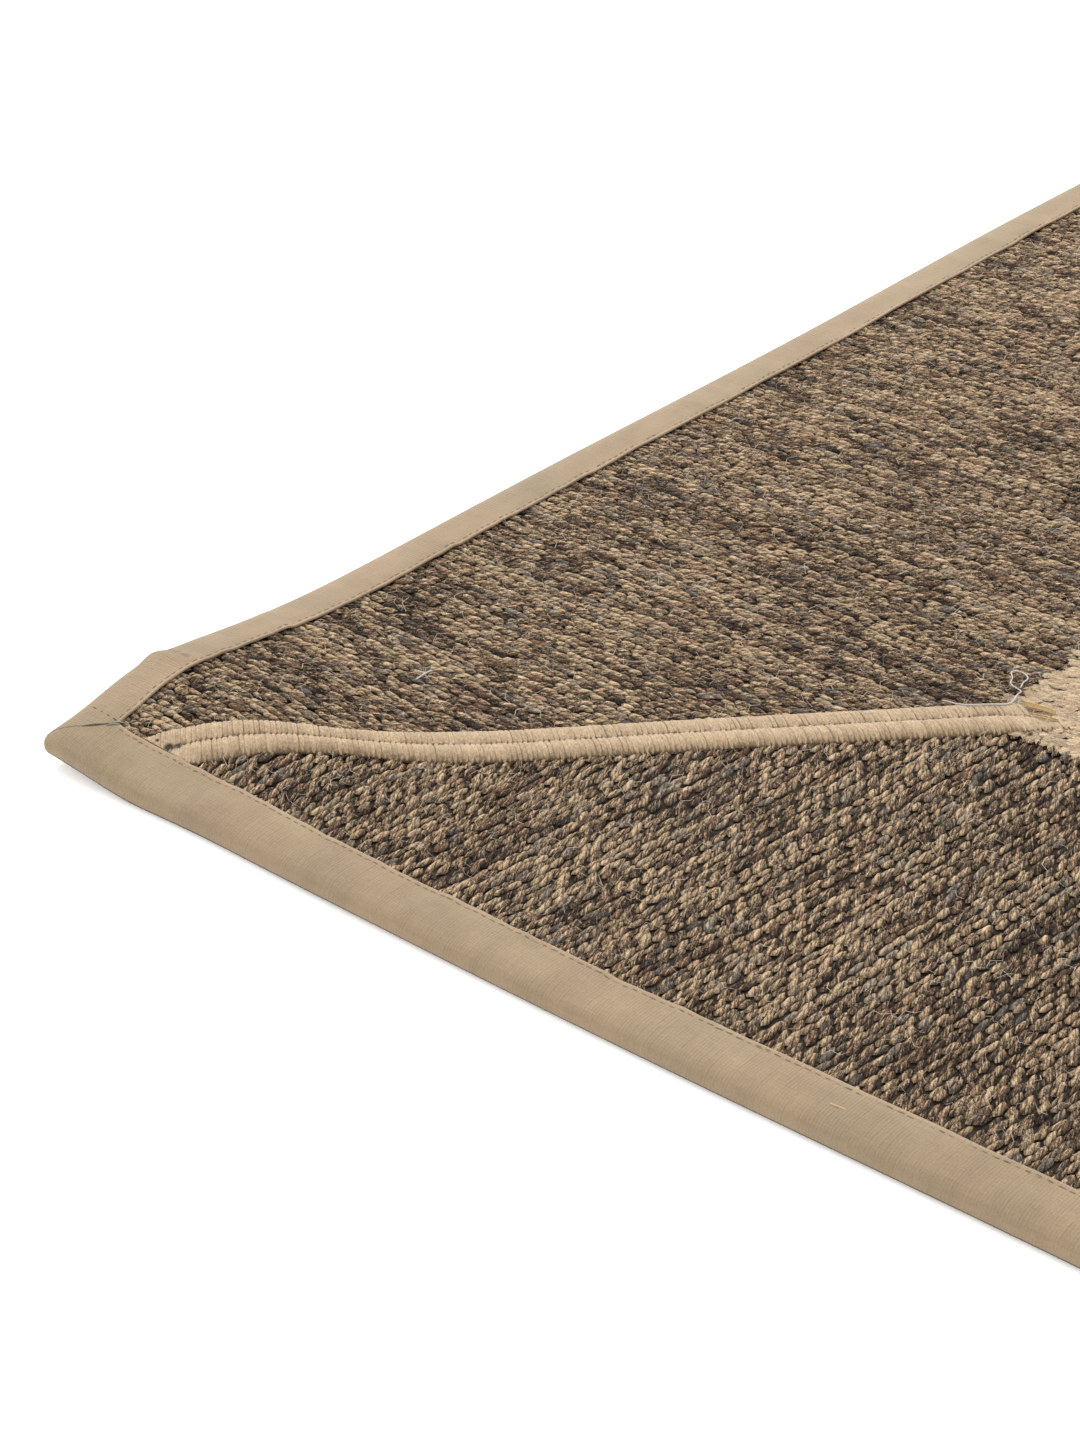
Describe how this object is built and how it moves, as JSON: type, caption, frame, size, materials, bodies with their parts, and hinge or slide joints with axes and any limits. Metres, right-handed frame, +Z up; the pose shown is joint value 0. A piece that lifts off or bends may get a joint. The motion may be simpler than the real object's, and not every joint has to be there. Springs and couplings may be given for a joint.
{
  "type": "patchwork rug",
  "caption": "Flat rectangular wool rug of mitred border panels around a plain centre field, with raised stitched bands over the mitres and a cotton tape folded over its rim.",
  "frame": {"origin": "middle of the rug's underside, on the floor", "axes": "+Z up out of the rug's face, +Y along the long side, +X along the short side, with the lifted corner at -X -Y"},
  "size_m": [0.901, 1.501, 0.0192],
  "materials": {
    "marled_brown_wool": "matt chunky wool flatweave, dark brown, tan and grey-brown yarns in streaks",
    "cream_wool": "matt chunky wool flatweave, plain cream",
    "cream_stitching": "matt cream wool yarn, close stitches in two raised rows",
    "khaki_cotton": "matt khaki cotton tape, fine weave, topstitched"
  },
  "bodies": {
    "root": {"border_panel_left": "marled_brown_wool", "border_panel_right": "marled_brown_wool", "border_panel_near": "marled_brown_wool", "border_panel_far": "marled_brown_wool", "centre_field": "cream_wool", "mitre_band_near_left": "cream_stitching", "mitre_band_near_right": "cream_stitching", "mitre_band_far_left": "cream_stitching", "mitre_band_far_right": "cream_stitching", "tape_left": "khaki_cotton", "tape_right": "khaki_cotton", "tape_near": "khaki_cotton", "tape_far": "khaki_cotton"}
  },
  "joints": []
}
